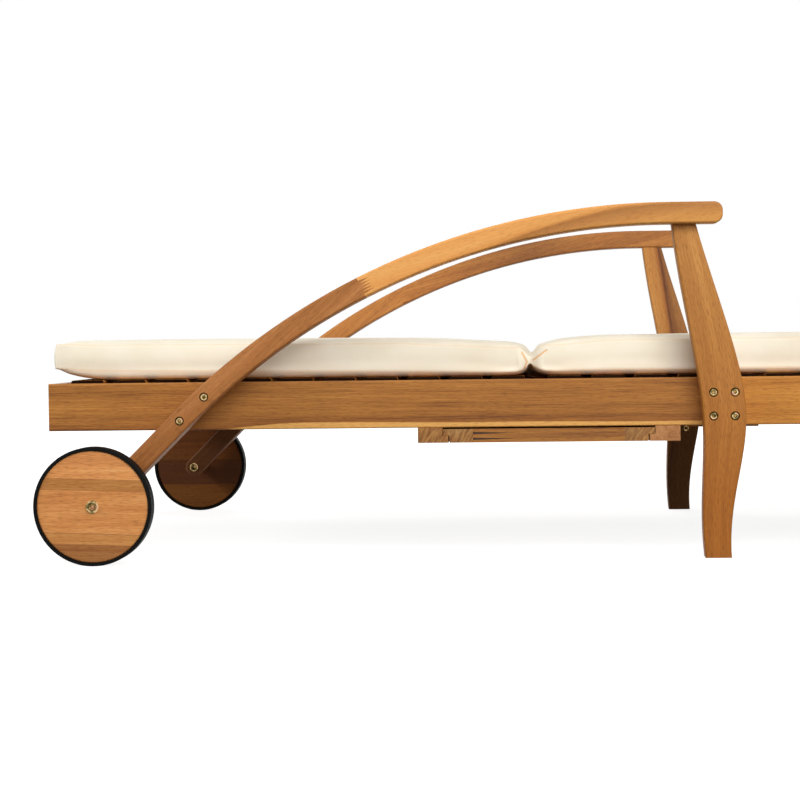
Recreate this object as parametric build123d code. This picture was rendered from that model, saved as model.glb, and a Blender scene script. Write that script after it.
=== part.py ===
from build123d import *
import math
import os

# Double chaise lounger in oiled hardwood: one wide slatted frame for two people, with two
# separate reclining backrests, curved arms that run down to a pair of wheels at the head
# end, sabre legs, and a slide-out tray under each side.
# Millimetres. X runs from the head end (-X) to the foot end (+X), Y across the frame with
# the near side at -Y, Z up from the ground. The origin is on the ground, under the middle.

os.makedirs("parts", exist_ok=True)

# Overall sizes
lounger_length = 2000.0
arm_span = 1240.0
arm_top = 581.5

# Side rails and cross rails
rail_underside = 216.0
rail_height = 79.0
rail_thickness = 28.0
rail_setback = 5.0
rail_rounding = 2.5
bearer_height = 36.0
packing_thickness = 28.0
packing_length = 122.0
packing_drop = 3.5
ledger_height = 20.0

# Arms
arm_width = 62.0
arm_depth = 35.0
arm_radius = 1147.0
arm_slope = 45.0
arm_reach = 93.0
arm_corner = 14.0
arm_rounding = 4.0
finger_height_share = 0.5515
finger_length = 19.0
finger_shoulder = 5.5
finger_count = 5

# Legs, with outlines as shares of the leg's width and height
leg_from_crown = 83.0
leg_width = 70.0
leg_thickness = 45.0
leg_rounding = 4.0
leg_top_corner = 10.0
foot_leg_inset = 120.0
leg_rear_shares = [(-0.307, 0.0), (-0.357, 0.165), (-0.321, 0.406), (-0.586, 0.653), (-1.03, 1.0)]
leg_front_shares = [(0.307, 0.0), (0.386, 0.174), (0.664, 0.406), (0.349, 0.651), (-0.471, 1.0)]

# Wheels
wheel_diameter = 194.0
tyre_width = 35.0
tyre_thickness = 5.5
tyre_rounding = 2.0
disc_thickness = 30.0
disc_rounding = 2.5
wheel_spacing = 25.0

# Slats
slat_width = 55.0
slat_thickness = 18.0
slat_proud = 5.0
slat_rounding = 3.0
seat_slat_count = 16
back_slat_count = 11

# Backrests
backrest_reach = 803.0
backrest_end_gap = 5.0
backrest_side_gap = 3.0
stile_height = 28.0
stile_thickness = 28.0
hinge_to_seat_slat = 32.0
hinge_to_back_slat = 8.0
cross_bar_width = 35.0
cross_bar_height = 22.0
rest_block_length = 22.0
rest_block_height = 26.0

# Props and their notched racks
prop_length = 340.0
prop_height = 26.0
prop_thickness = 20.0
prop_bar_diameter = 18.0
prop_side_gap = 3.0
rack_thickness = 20.0
rack_height = 38.0
rack_bearer_from_hinge = 228.0
notch_depth = 10.0
recline_stops = [25.0, 40.0, 55.0, 65.0]

# Slide-out trays and the rabbeted guides that carry them
tray_from_bearer = 56.36
tray_from_packing = 50.5
tray_from_centre = 24.0
tray_height = 22.5
tray_travel = 320.0
runner_width = 39.0
tongue_width = 10.0
tongue_height = 10.5
guide_width = 41.0
guide_height = 25.3
tray_board_width = 35.0
deck_board_count = 5
deck_board_gap = 6.0
deck_thickness = 12.0
stop_width = 12.0
stop_height = 12.0

# Fasteners
bolt_diameter = 8.0
bolt_head_diameter = 12.7
bolt_head_height = 6.0
bolt_socket_width = 5.0
bolt_socket_depth = 3.0
counterbore_diameter = 15.0
counterbore_depth = 7.0
nut_width = 13.0
nut_height = 6.5
bolt_end = 2.0
hexagon_sides = 6
leg_bolt_offset = 3.46
leg_bolt_spacing = 35.0
leg_bolt_rise = 38.8
leg_bolt_share = 0.45
arm_bolt_inset_low = 17.0
arm_bolt_inset_high = 23.0
axle_diameter = 10.0
axle_head_diameter = 13.0
axle_head_height = 5.0
axle_washer_diameter = 21.0
axle_washer_thickness = 2.0
axle_sleeve_diameter = 13.0
axle_sleeve_length = 30.0
bolt_sleeve_diameter = 11.0
bolt_sleeve_length = 20.0
sleeve_flange_width = 2.0
sleeve_flange_thickness = 2.0
hinge_diameter = 10.0
hinge_head_diameter = 18.0
hinge_head_height = 4.0
hinge_blind_depth = 18.0
hinge_washer_diameter = 22.0
prop_pin_diameter = 8.0
prop_pin_head_diameter = 14.0
prop_pin_head_height = 4.0
eye_diameter = 8.7
eye_wire = 1.8
eye_shank = 1.0

# Cushions
cushion_thickness = 65.0
cushion_edge = 52.0
cushion_bulge = 5.0
cushion_draw_in = 5.0
cushion_end_lift = 22.0
cushion_end_drop = 9.3
cushion_head_inset = 12.0
cushion_foot_inset = 10.0
cushion_shares = [0.0, 0.02, 0.08, 0.5, 0.92, 0.98, 1.0]
fullness_shares = [0.05, 0.6, 0.93, 1.0, 0.93, 0.6, 0.05]
waist_shares = [0.2, 0.0, 0.2, 1.0, 0.2, 0.0, 0.2]

# Clearances
running_gap = 0.05
seat_gap = 0.3
sliding_gap = 1.0
bar_gap = 0.5
cushion_gap = 1.5
fold_from_hinge = 10.0
overrun = 5.0


def leg_middle(height_share):
    """How far a leg's middle line stands off the plumb at a height, as a share of its width."""
    sides = zip(leg_rear_shares, leg_front_shares)
    middle = [((rear + front) / 2, height) for (rear, height), (front, _) in sides]
    for (before, low), (after, high) in zip(middle, middle[1:]):
        if height_share <= high:
            return before + (after - before) * (height_share - low) / (high - low)
    return middle[-1][0]


# Places worked out from the sizes
head_x = -lounger_length / 2
foot_x = lounger_length / 2
rail_face = arm_span / 2 - arm_width
rail_inner = rail_face - rail_thickness
rail_top = rail_underside + rail_height
rail_head_x = head_x + rail_setback
head_rail_inner = rail_head_x + rail_thickness
foot_rail_inner = foot_x - rail_thickness

axle_x = head_x + wheel_diameter / 2
axle_z = wheel_diameter / 2
turn = math.radians(arm_slope)
arm_mid_radius = arm_radius - arm_depth / 2
arm_mid_top = arm_top - arm_depth / 2
bend_end_z = arm_mid_top - arm_mid_radius * (1 - math.cos(turn))
straight_run = (bend_end_z - axle_z) / math.tan(turn)
crown_x = axle_x + straight_run + arm_mid_radius * math.sin(turn)
arm_end_x = crown_x + arm_reach
arm_underside = arm_top - arm_depth

finger_height = rail_top + (arm_top - rail_top) * finger_height_share

leg_x = crown_x + leg_from_crown
foot_leg_x = foot_x - foot_leg_inset
leg_bolt_z = rail_underside + rail_height * leg_bolt_share
leg_bolt_shift = leg_bolt_offset + leg_width * leg_middle(leg_bolt_z / arm_underside)
splice_x = leg_x + leg_bolt_shift
packing_inner = rail_inner - packing_thickness

slat_top = rail_top + slat_proud
slat_underside = slat_top - slat_thickness
stile_underside = slat_underside - stile_height
hinge_x = rail_head_x + backrest_reach
hinge_z = slat_underside - stile_height / 2
seat_slats_x = hinge_x + hinge_to_seat_slat
ledger_underside = slat_underside - ledger_height
bearer_top = rail_underside + bearer_height
centre_face = rail_thickness / 2
stile_outer = rail_inner - backrest_side_gap
stile_inner = centre_face + backrest_side_gap
backrest_head_x = head_rail_inner + backrest_end_gap

prop_pivot_x = hinge_x - prop_length
prop_foot_x = prop_pivot_x - prop_length
prop_outer = stile_outer - stile_thickness - prop_side_gap
prop_inner = stile_inner + stile_thickness + prop_side_gap
rack_outer = prop_outer - prop_thickness - prop_side_gap
rack_inner = prop_inner + prop_thickness + prop_side_gap
rack_top = hinge_z - prop_bar_diameter / 2 - bar_gap
rack_bearer_x = hinge_x - rack_bearer_from_hinge
seat_bearer_x = (splice_x + foot_leg_x) / 2

tray_head_x = rack_bearer_x + rail_thickness + tray_from_bearer
tray_foot_x = splice_x - packing_length / 2 - tray_from_packing
tray_width = tray_foot_x - tray_head_x
tray_x = (tray_head_x + tray_foot_x) / 2
tray_front = rail_face
tray_back = centre_face + tray_from_centre
tray_depth = tray_front - tray_back
tray_underside = rail_underside - guide_height
tray_top = tray_underside + tray_height
lip_height = tray_height - tongue_height - seat_gap
guide_inner = tray_width / 2 + sliding_gap
stop_face = rail_inner - tray_travel - bar_gap

wheel_inner = arm_span / 2 + wheel_spacing
wheel_outer = wheel_inner + tyre_width
disc_inner = wheel_inner + (tyre_width - disc_thickness) / 2
disc_outer = disc_inner + disc_thickness


def block(x_low, x_high, y_low, y_high, z_low, z_high):
    """A square-cut timber between two opposite corners."""
    middle = Pos((x_low + x_high) / 2, (y_low + y_high) / 2, (z_low + z_high) / 2)
    return middle * Box(x_high - x_low, y_high - y_low, z_high - z_low)


def rod(x, z, y_low, y_high, diameter):
    """A round bar, or the cutter for its hole, along Y."""
    return Pos(x, (y_low + y_high) / 2, z) * Rot(90, 0, 0) * Cylinder(diameter / 2, y_high - y_low)


def ease(timber, along, radius):
    """Round the long edges of a timber, as a router leaves them."""
    return fillet(timber.edges().filter_by(along), radius)


def ease_faces(timber, radius):
    """Round every edge of the two broad faces that look across the frame."""
    broad = timber.faces().filter_by(Axis.Y).sort_by(Axis.Y)
    return fillet(broad[0].edges() + broad[-1].edges(), radius)


def ease_curves(timber, radius):
    """Round only the curved long edges of the two broad faces."""
    broad = timber.faces().filter_by(Axis.Y).sort_by(Axis.Y)
    edges = broad[0].edges() + broad[-1].edges()
    return fillet(edges.filter_by(GeomType.BSPLINE), radius)


def near_profile(face_y):
    """The drawing plane of a near-side face; a positive extrusion goes outwards to -Y."""
    return Plane.XZ.offset(face_y)


def save(name, *solids):
    """Write one sub-part, or a group of like pieces, as a STEP file."""
    whole = solids[0] if len(solids) == 1 else Compound(children=list(solids))
    export_step(whole, f"parts/{name}.step")


def save_sides(name, *solids):
    """Write the near-side piece and its mirror image on the far side."""
    save(f"{name}_near", *solids)
    save(f"{name}_far", *[mirror(solid, about=Plane.XZ) for solid in solids])


def with_mirrors(solids):
    """The near-side solids together with their far-side mirror images."""
    return solids + [mirror(solid, about=Plane.XZ) for solid in solids]


# Bolt places in the side view

def arm_mid_point(height):
    """The point of the arm's middle line at a height, on the bend or on the straight."""
    if height < bend_end_z:
        return axle_x + (height - axle_z) / math.tan(turn), height
    angle = math.acos(1 - (arm_mid_top - height) / arm_mid_radius)
    return crown_x - arm_mid_radius * math.sin(angle), height


arm_bolt_points = [
    arm_mid_point(rail_underside + arm_bolt_inset_low),
    arm_mid_point(rail_top - arm_bolt_inset_high),
]


def leg_bolt_points(middle_x):
    """Two columns of two bolts, one column each side of the middle."""
    return [
        (middle_x + across * leg_bolt_spacing / 2, leg_bolt_z + up * leg_bolt_rise / 2)
        for across in (-1, 1)
        for up in (-1, 1)
    ]


mid_leg_bolts = leg_bolt_points(splice_x)
foot_leg_bolts = leg_bolt_points(foot_leg_x + leg_bolt_shift)


def bolt_holes(points, y_low, y_high):
    """Clearance holes on near-side bolt places; Y is given as distances from the middle."""
    diameter = bolt_diameter + 2 * running_gap
    return [rod(x, z, -y_high - overrun, -y_low + overrun, diameter) for x, z in points]


def counterbores(points, face):
    """The wider recesses that take the bolt heads below an outer face."""
    return [
        rod(x, z, -face - overrun, -face + counterbore_depth, counterbore_diameter)
        for x, z in points
    ]


# Side rails, in two lengths that butt behind the mid leg

def side_rail(x_low, x_high, bolts):
    """One length of the near side rail."""
    rail = block(x_low, x_high, -rail_face, -rail_inner, rail_underside, rail_top)
    rail = ease(rail, Axis.X, rail_rounding)
    holes = bolt_holes(bolts, rail_inner, rail_face)
    return rail - holes


def head_side_rail():
    """The head length, with the arm bolts, the splice bolts and the hinge's blind hole."""
    inside = [point for point in mid_leg_bolts if point[0] < splice_x]
    rail = side_rail(rail_head_x, splice_x, arm_bolt_points + inside)
    sleeve_end = rail_inner + bolt_sleeve_length + running_gap
    sleeve = bolt_sleeve_diameter + 2 * running_gap
    rail -= [rod(x, z, -sleeve_end, -rail_inner + overrun, sleeve) for x, z in arm_bolt_points]
    depth = rail_inner + hinge_blind_depth
    return rail - rod(hinge_x, hinge_z, -depth, -rail_inner + overrun, hinge_diameter + 2 * running_gap)


def foot_side_rail():
    """The foot length, with the rest of the splice bolts and the foot leg's bolts."""
    inside = [point for point in mid_leg_bolts if point[0] > splice_x]
    return side_rail(splice_x, foot_x, inside + foot_leg_bolts)


save_sides("side_rail_head", head_side_rail())
save_sides("side_rail_foot", foot_side_rail())


# Cross rails, bearers and the centre rail

def cross_rail(x_low, z_low, z_high):
    """A rail across the frame, between the side rails."""
    rail = block(x_low, x_low + rail_thickness, -rail_inner, rail_inner, z_low, z_high)
    return ease(rail, Axis.Y, rail_rounding)


def centre_rail():
    """The middle rail, notched over the two bearers and drilled for the centre hinge bolt."""
    rail = block(
        head_rail_inner, foot_rail_inner, -centre_face, centre_face, rail_underside, slat_underside
    )
    for x in (rack_bearer_x, seat_bearer_x):
        rail -= block(
            x, x + rail_thickness, -centre_face - overrun, centre_face + overrun,
            rail_underside - overrun, bearer_top
        )
    hole = hinge_diameter + 2 * running_gap
    return rail - rod(hinge_x, hinge_z, -centre_face - overrun, centre_face + overrun, hole)


save("head_rail", cross_rail(rail_head_x, rail_underside, rail_top))
save("foot_rail", cross_rail(foot_rail_inner, rail_underside, rail_top))
save("rack_bearer", cross_rail(rack_bearer_x, rail_underside, bearer_top))
save("seat_bearer", cross_rail(seat_bearer_x, rail_underside, bearer_top))
save("centre_rail", centre_rail())


# Packing blocks behind the legs, the ledgers that carry the seat slats, and the small
# blocks that the lowered backrests land on

def packing_block(middle_x, bolts):
    """The block inside the rail behind a leg, bolted through with it."""
    packing = block(
        middle_x - packing_length / 2, middle_x + packing_length / 2,
        -rail_inner, -packing_inner, rail_underside - packing_drop, ledger_underside
    )
    return packing - bolt_holes(bolts, packing_inner, rail_inner)


def seat_ledger():
    """The strip along the rail's inner face, under the slat ends."""
    ledger = block(
        seat_slats_x, foot_rail_inner, -rail_inner, -packing_inner, ledger_underside, slat_underside
    )
    return ledger - bolt_holes(mid_leg_bolts + foot_leg_bolts, packing_inner, rail_inner)


def rest_block(y_low):
    """The block on the head rail that one stile end rests on."""
    top = stile_underside - seat_gap
    return block(
        head_rail_inner, head_rail_inner + rest_block_length,
        y_low, y_low + stile_thickness, top - rest_block_height, top
    )


packing_near = [
    packing_block(splice_x, mid_leg_bolts),
    packing_block(foot_leg_x + leg_bolt_shift, foot_leg_bolts),
]
save("packing_blocks", *with_mirrors(packing_near))
save("seat_ledgers", *with_mirrors([seat_ledger()]))
rest_blocks_near = [rest_block(-stile_outer), rest_block(-stile_inner - stile_thickness)]
save("backrest_rest_blocks", *with_mirrors(rest_blocks_near))


# Arms: one curved member in two pieces, glued end to end with a finger joint

def on_bend(radius, angle):
    """A point of the bend, at an angle back from the crown."""
    return crown_x - radius * math.sin(angle), arm_top - arm_radius + radius * math.cos(angle)


def arm_blank():
    """The whole arm: a level end, a long bend, and a straight down to the round wheel end."""
    inner_radius = arm_radius - arm_depth
    half = arm_depth / 2
    along = (-math.cos(turn), -math.sin(turn))
    outward = (-math.sin(turn), math.cos(turn))
    upper_end = (axle_x + outward[0] * half, axle_z + outward[1] * half)
    lower_end = (axle_x - outward[0] * half, axle_z - outward[1] * half)
    tip = (axle_x + along[0] * half, axle_z + along[1] * half)
    with BuildSketch(near_profile(rail_face)) as side:
        with BuildLine():
            Line(upper_end, on_bend(arm_radius, turn))
            ThreePointArc(on_bend(arm_radius, turn), on_bend(arm_radius, turn / 2), (crown_x, arm_top))
            Polyline((crown_x, arm_top), (arm_end_x, arm_top), (arm_end_x, arm_underside),
                     (crown_x, arm_underside))
            ThreePointArc((crown_x, arm_underside), on_bend(inner_radius, turn / 2),
                          on_bend(inner_radius, turn))
            Line(on_bend(inner_radius, turn), lower_end)
            ThreePointArc(lower_end, tip, upper_end)
        make_face()
        fillet(side.vertices().group_by(Axis.X)[-1], arm_corner)
    return ease_faces(extrude(side.sketch, arm_width), arm_rounding)


def finger_cutter():
    """Everything on the wheel side of the zigzag glue line."""
    middle_x, middle_z = arm_mid_point(finger_height)
    angle = math.asin((crown_x - middle_x) / arm_mid_radius)
    half = arm_depth / 2 - finger_shoulder
    zigzag = []
    for step in range(2 * finger_count + 1):
        side = 1 if step % 2 else -1
        zigzag.append((side * finger_length / 2, half * (step / finger_count - 1)))
    first = zigzag[0][0]
    outline = [(first, -lounger_length)] + zigzag + [(first, lounger_length)]
    outline += [(-lounger_length, lounger_length), (-lounger_length, -lounger_length)]
    frame = Plane(
        origin=(middle_x, -rail_face + overrun, middle_z),
        x_dir=(math.cos(angle), 0, math.sin(angle)),
        z_dir=(0, -1, 0),
    )
    with BuildSketch(frame) as glue_line:
        Polygon(*outline, align=None)
    return extrude(glue_line.sketch, arm_width + 2 * overrun)


def arm_pieces():
    """The lower and the upper piece of the near arm, drilled for its bolts and the axle."""
    blank = arm_blank()
    blank -= bolt_holes(arm_bolt_points, rail_face, arm_span / 2)
    blank -= counterbores(arm_bolt_points, arm_span / 2)
    hole = axle_diameter + 2 * running_gap
    blank -= rod(axle_x, axle_z, -arm_span / 2 - overrun, -rail_face + overrun, hole)
    sleeve = axle_sleeve_diameter + 2 * running_gap
    sleeve_end = -rail_face - axle_sleeve_length - running_gap
    blank -= rod(axle_x, axle_z, sleeve_end, -rail_face + overrun, sleeve)
    cutter = finger_cutter()
    return blank & cutter, blank - cutter


arm_lower, arm_upper = arm_pieces()
save_sides("arm_lower", arm_lower)
save_sides("arm_upper", arm_upper)


# Sabre legs

def leg_blank(middle_x, height):
    """A leg sawn to its double curve, from the ground up to the arm."""
    rear = [(middle_x + across * leg_width, up * height) for across, up in leg_rear_shares]
    front = [(middle_x + across * leg_width, up * height) for across, up in leg_front_shares]
    with BuildSketch(near_profile(rail_face)) as side:
        with BuildLine():
            Spline(*rear)
            Line(rear[-1], front[-1])
            Spline(*front)
            Line(front[0], rear[0])
        make_face()
    return extrude(side.sketch, leg_thickness)


def mid_leg():
    """The leg under the near arm, bolted through the splice."""
    leg = ease_curves(leg_blank(leg_x, arm_underside), leg_rounding)
    leg -= bolt_holes(mid_leg_bolts, rail_face, rail_face + leg_thickness)
    return leg - counterbores(mid_leg_bolts, rail_face + leg_thickness)


def foot_leg():
    """The shorter leg at the foot end, stopped at the rail's top edge."""
    blank = leg_blank(foot_leg_x, arm_underside)
    blank -= block(
        foot_leg_x - lounger_length, foot_leg_x + lounger_length,
        -arm_span, arm_span, rail_top, arm_top
    )
    blank = fillet(blank.edges().filter_by(Axis.Y).group_by(Axis.Z)[-1], leg_top_corner)
    leg = ease_curves(blank, leg_rounding)
    leg -= bolt_holes(foot_leg_bolts, rail_face, rail_face + leg_thickness)
    return leg - counterbores(foot_leg_bolts, rail_face + leg_thickness)


save_sides("mid_leg", mid_leg())
save_sides("foot_leg", foot_leg())


# Slats

def slat_row(x_low, x_high, count, y_low, y_high):
    """Evenly spaced slats across the frame."""
    pitch = (x_high - x_low - slat_width) / (count - 1)
    first = block(x_low, x_low + slat_width, y_low, y_high, slat_underside, slat_top)
    first = ease(first, Axis.Y, slat_rounding)
    return [Pos(pitch * place, 0, 0) * first for place in range(count)]


seat_slats = slat_row(
    seat_slats_x, foot_rail_inner - sliding_gap, seat_slat_count,
    -rail_inner + sliding_gap, rail_inner - sliding_gap
)
save("seat_slats", *seat_slats)


# Backrests: two stiles, two cross bars and a row of slats on each side

def stile(y_low):
    """A side member of the near backrest, rounded about the hinge."""
    shape = block(backrest_head_x, hinge_x, y_low, y_low + stile_thickness, stile_underside, slat_underside)
    shape += rod(hinge_x, hinge_z, y_low, y_low + stile_thickness, stile_height)
    shape -= rod(hinge_x, hinge_z, y_low - overrun, y_low + stile_thickness + overrun,
                 hinge_diameter + 2 * running_gap)
    shape -= rod(prop_pivot_x, hinge_z, y_low - overrun, y_low + stile_thickness + overrun,
                 prop_pin_diameter + 2 * running_gap)
    return shape


def backrest_bar(x_low):
    """A cross bar between the stiles."""
    return block(
        x_low, x_low + cross_bar_width,
        -stile_outer + stile_thickness, -stile_inner - stile_thickness,
        slat_underside - cross_bar_height, slat_underside
    )


save_sides("backrest_stile_outer", stile(-stile_outer))
save_sides("backrest_stile_inner", stile(-stile_inner - stile_thickness))
save_sides("backrest_bars", backrest_bar(backrest_head_x),
           backrest_bar(hinge_x - stile_height - cross_bar_width))
save_sides("backrest_slats", *slat_row(
    backrest_head_x, hinge_x - hinge_to_back_slat, back_slat_count, -stile_outer, -stile_inner
))


# Props: two legs and a foot bar that drops into the racks

def prop_leg(y_low):
    """One prop leg, rounded about its pivot and about the foot bar."""
    half = prop_height / 2
    leg = block(prop_foot_x, prop_pivot_x, y_low, y_low + prop_thickness, hinge_z - half, hinge_z + half)
    leg += rod(prop_pivot_x, hinge_z, y_low, y_low + prop_thickness, prop_height)
    leg += rod(prop_foot_x, hinge_z, y_low, y_low + prop_thickness, prop_height)
    leg -= rod(prop_pivot_x, hinge_z, y_low - overrun, y_low + prop_thickness + overrun,
               prop_pin_diameter + 2 * running_gap)
    leg -= rod(prop_foot_x, hinge_z, y_low - overrun, y_low + prop_thickness + overrun,
               prop_bar_diameter + 2 * running_gap)
    return leg


def notched_rack(y_low):
    """A strip on edge with a round-bottomed notch for each raised position."""
    y_high = y_low + rack_thickness
    rack = block(head_rail_inner, rack_bearer_x, y_low, y_high, rack_top - rack_height, rack_top)
    half = prop_bar_diameter / 2 + bar_gap
    floor_z = rack_top - notch_depth + half
    for stop in recline_stops:
        notch_x = hinge_x - 2 * prop_length * math.cos(math.radians(stop))
        rack -= rod(notch_x, floor_z, y_low - overrun, y_high + overrun, 2 * half)
        rack -= block(notch_x - half, notch_x + half, y_low - overrun, y_high + overrun,
                      floor_z, rack_top + overrun)
    return rack


def prop_pin(y_stile, y_head, head_side):
    """The pin of one prop leg, through the stile, a thin washer and the leg."""
    pin = rod(prop_pivot_x, hinge_z, min(y_stile, y_head), max(y_stile, y_head), prop_pin_diameter)
    head_end = y_head + head_side * prop_pin_head_height
    head = rod(prop_pivot_x, hinge_z, min(y_head, head_end), max(y_head, head_end), prop_pin_head_diameter)
    return pin + head


save_sides("prop_legs", prop_leg(-prop_outer), prop_leg(-prop_inner - prop_thickness))
save_sides("prop_foot_bar", rod(prop_foot_x, hinge_z, -prop_outer, -prop_inner, prop_bar_diameter))
save_sides("prop_pins",
           prop_pin(-stile_outer, -prop_outer + prop_thickness + seat_gap, 1),
           prop_pin(-stile_inner, -prop_inner - prop_thickness - seat_gap, -1))
save_sides("racks", notched_rack(-rack_outer), notched_rack(-rack_inner - rack_thickness))


# Trays and guides

def guide(hand):
    """A full-width guide under the side rails; its low lip carries the tray's tongue."""
    inner = tray_x + hand * guide_inner
    outer = inner + hand * guide_width
    lip = inner - hand * (tongue_width - sliding_gap / 2)
    with BuildSketch(near_profile(rail_face)) as end:
        with BuildLine():
            Polyline(
                (outer, tray_underside), (outer, rail_underside), (inner, rail_underside),
                (inner, tray_underside + lip_height), (lip, tray_underside + lip_height),
                (lip, tray_underside), close=True
            )
        make_face()
    return extrude(end.sketch, -2 * rail_face)


def runner(hand):
    """A tray side with the upper tongue that rides on the guide's lip."""
    tongue = tray_x + hand * tray_width / 2
    outer = tongue - hand * (tongue_width + sliding_gap / 2)
    inner = outer - hand * runner_width
    with BuildSketch(near_profile(tray_back)) as end:
        with BuildLine():
            Polyline(
                (inner, tray_underside), (inner, tray_top), (tongue, tray_top),
                (tongue, tray_top - tongue_height), (outer, tray_top - tongue_height),
                (outer, tray_underside), close=True
            )
        make_face()
    return extrude(end.sketch, tray_depth)


def tray_boards():
    """The front and back boards and the thinner deck boards between the runners."""
    half = tray_width / 2 - tongue_width - sliding_gap / 2 - runner_width
    x_low = tray_x - half
    x_high = tray_x + half
    boards = [
        block(x_low, x_high, -tray_front, -tray_front + tray_board_width, tray_underside, tray_top),
        block(x_low, x_high, -tray_back - tray_board_width, -tray_back, tray_underside, tray_top),
    ]
    clear = tray_depth - 2 * tray_board_width - deck_board_gap * (deck_board_count + 1)
    width = clear / deck_board_count
    for place in range(deck_board_count):
        y_low = -tray_front + tray_board_width + deck_board_gap + place * (width + deck_board_gap)
        boards.append(block(x_low, x_high, y_low, y_low + width, tray_top - deck_thickness, tray_top))
    return boards


def tray_stop():
    """The strip on the tray that meets the side rail when the tray is fully out."""
    half = tray_width / 2 - tongue_width
    return block(tray_x - half, tray_x + half, -stop_face, -stop_face + stop_width,
                 tray_top, tray_top + stop_height)


save("tray_guide_head", guide(-1))
save("tray_guide_foot", guide(1))
save_sides("tray_runners", runner(-1), runner(1))
save_sides("tray_boards", *tray_boards())
save_sides("tray_stop", tray_stop())


# Wheels

def wheel_disc():
    """A solid hardwood disc with its rim edges rounded."""
    radius = wheel_diameter / 2 - tyre_thickness - running_gap
    disc = rod(axle_x, axle_z, -disc_outer, -disc_inner, 2 * radius)
    disc = fillet(disc.edges(), disc_rounding)
    hole = axle_diameter + 2 * running_gap
    return disc - rod(axle_x, axle_z, -disc_outer - overrun, -disc_inner + overrun, hole)


def wheel_tyre():
    """A flat rubber band round the disc, with softened shoulders."""
    band = rod(axle_x, axle_z, -wheel_outer, -wheel_inner, wheel_diameter)
    band = fillet(band.edges(), tyre_rounding)
    inner = wheel_diameter - 2 * tyre_thickness
    return band - rod(axle_x, axle_z, -wheel_outer - overrun, -wheel_inner + overrun, inner)


save_sides("wheel_disc", wheel_disc())
save_sides("wheel_tyre", wheel_tyre())


# Fasteners

def socket_cutter(x, z, face, width, depth):
    """The hexagon recess in a bolt head that looks outwards on the near side."""
    with BuildSketch(near_profile(face - depth)) as recess:
        with Locations((x, z)):
            RegularPolygon(width / 2, hexagon_sides, major_radius=False)
    return extrude(recess.sketch, depth + overrun)


def frame_bolt(x, z, face, end):
    """A button-head bolt from a counterbore in an outer face to its nut inside the frame."""
    seat = face - counterbore_depth
    bolt = rod(x, z, -seat, -end, bolt_diameter)
    bolt += rod(x, z, -seat - bolt_head_height, -seat, bolt_head_diameter)
    return bolt - socket_cutter(x, z, seat + bolt_head_height, bolt_socket_width, bolt_socket_depth)


def frame_nut(x, z, inner):
    """The hexagon nut on a bolt's inner end."""
    with BuildSketch(near_profile(inner - nut_height)) as outline:
        with Locations((x, z)):
            RegularPolygon(nut_width / 2, hexagon_sides, major_radius=False)
            Circle(bolt_diameter / 2 + running_gap, mode=Mode.SUBTRACT)
    return extrude(outline.sketch, nut_height)


def sleeve_nut(x, z, inner, outside_diameter, bolt, length):
    """A flanged sleeve nut let into an inner face; its open end shows in the flange."""
    flange = outside_diameter + 2 * sleeve_flange_width
    nut = rod(x, z, -inner - length, -inner, outside_diameter)
    nut += rod(x, z, -inner, -inner + sleeve_flange_thickness, flange)
    return nut - rod(x, z, -inner - length - overrun, -inner + overrun, bolt + 2 * running_gap)


def wheel_fixings():
    """The axle bolt, its outer washer, the spacer by the arm and the sleeve nut in the arm."""
    face = disc_outer + seat_gap
    head = face + axle_washer_thickness
    arm_face = arm_span / 2
    end = rail_face + axle_sleeve_length / 2
    bolt = rod(axle_x, axle_z, -head, -end, axle_diameter)
    bolt += rod(axle_x, axle_z, -head - axle_head_height, -head, axle_head_diameter)
    bolt -= socket_cutter(axle_x, axle_z, head + axle_head_height, bolt_socket_width, bolt_socket_depth)
    hole = axle_diameter + 2 * running_gap
    washer = rod(axle_x, axle_z, -head, -face, axle_washer_diameter)
    washer -= rod(axle_x, axle_z, -head - overrun, -face + overrun, hole)
    spacer = rod(axle_x, axle_z, -disc_inner + seat_gap, -arm_face, axle_washer_diameter)
    spacer -= rod(axle_x, axle_z, -disc_inner - overrun, -arm_face + overrun, hole)
    sleeve = sleeve_nut(axle_x, axle_z, rail_face, axle_sleeve_diameter, axle_diameter, axle_sleeve_length)
    return [bolt, washer, spacer, sleeve]


def hinge_bolts():
    """Two bolts into the side rails and one long bolt through the centre rail."""
    inner_face = stile_outer - stile_thickness - seat_gap
    outer = rod(hinge_x, hinge_z, -rail_inner - hinge_blind_depth + bar_gap, -inner_face, hinge_diameter)
    outer += rod(hinge_x, hinge_z, -inner_face, -inner_face + hinge_head_height, hinge_head_diameter)
    end = stile_inner + stile_thickness + seat_gap
    centre = rod(hinge_x, hinge_z, -end, end, hinge_diameter)
    centre += rod(hinge_x, hinge_z, -end - hinge_head_height, -end, hinge_head_diameter)
    centre += rod(hinge_x, hinge_z, end, end + hinge_head_height, hinge_head_diameter)
    return with_mirrors([outer]) + [centre]


def hinge_washers():
    """The spacing washers between the stiles and the rails they hang on."""
    hole = hinge_diameter + 2 * running_gap
    rings = []
    for y_low, y_high in ((-rail_inner, -stile_outer - seat_gap), (-stile_inner + seat_gap, -centre_face)):
        ring = rod(hinge_x, hinge_z, y_low, y_high, hinge_washer_diameter)
        rings.append(ring - rod(hinge_x, hinge_z, y_low - overrun, y_high + overrun, hole))
    return with_mirrors(rings)


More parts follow.
